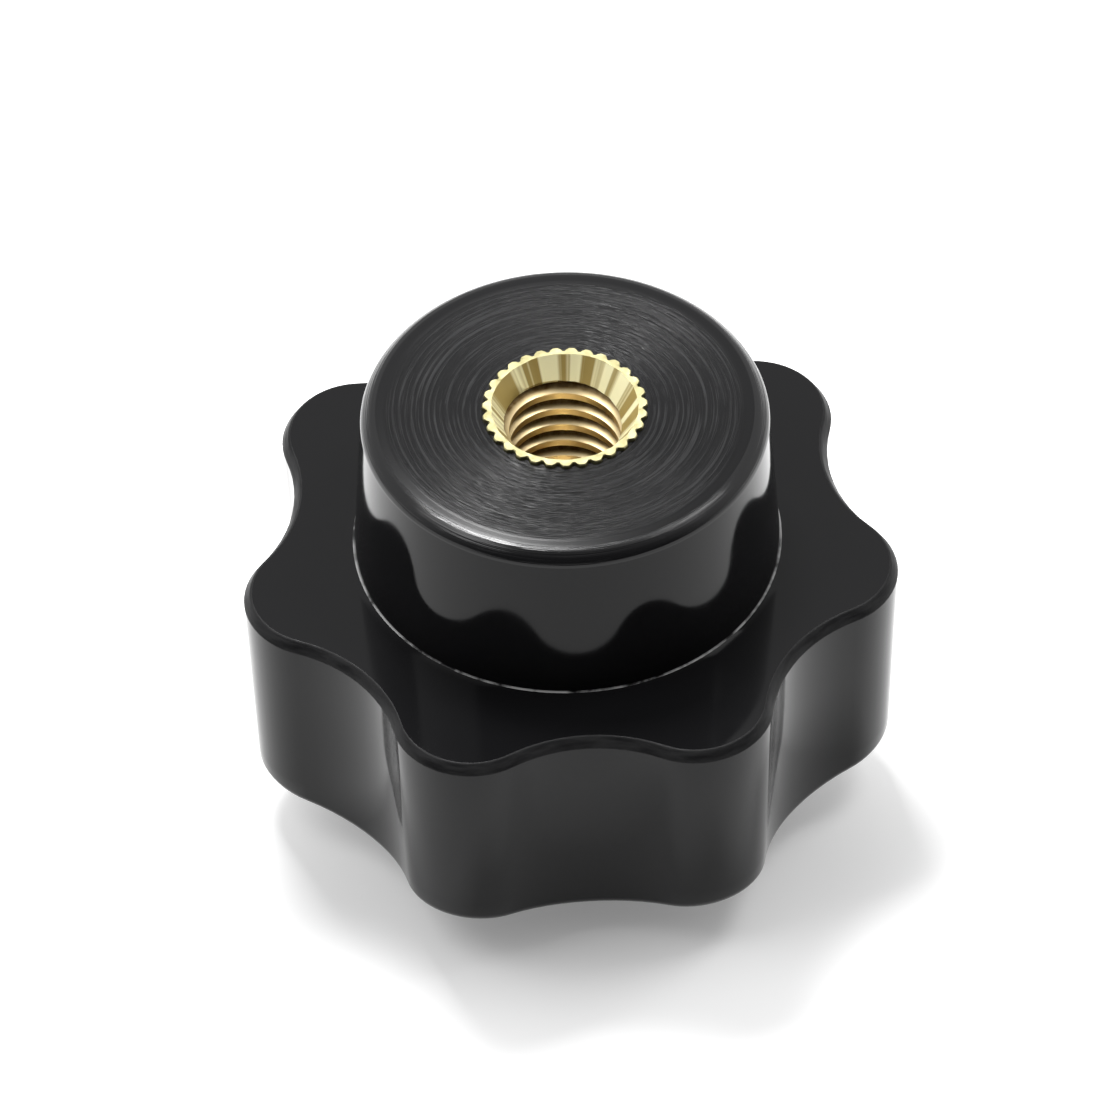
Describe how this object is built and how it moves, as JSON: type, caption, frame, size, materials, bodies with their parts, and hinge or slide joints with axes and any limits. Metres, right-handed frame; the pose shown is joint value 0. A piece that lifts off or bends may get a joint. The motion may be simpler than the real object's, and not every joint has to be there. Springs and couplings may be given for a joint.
{
  "type": "star knob",
  "caption": "Lobed black moulded clamping knob with a tapered hub and a knurled brass insert, blind threaded and countersunk.",
  "frame": {"origin": "on the knob's axis, in the flat land in the middle of the crown that the knob rests on", "axes": "+Z along the knob's axis, out of the threaded hole; one lobe's nose points along +Y"},
  "size_m": [0.0294, 0.0289, 0.022],
  "materials": {
    "moulding": "gloss black moulding, with fine turning rings on the faced end of the hub and a trimmed matt band round the rim",
    "brass": "bright machined yellow brass"
  },
  "bodies": {
    "root": {"knob_body": "moulding", "threaded_insert": "brass"}
  },
  "joints": []
}
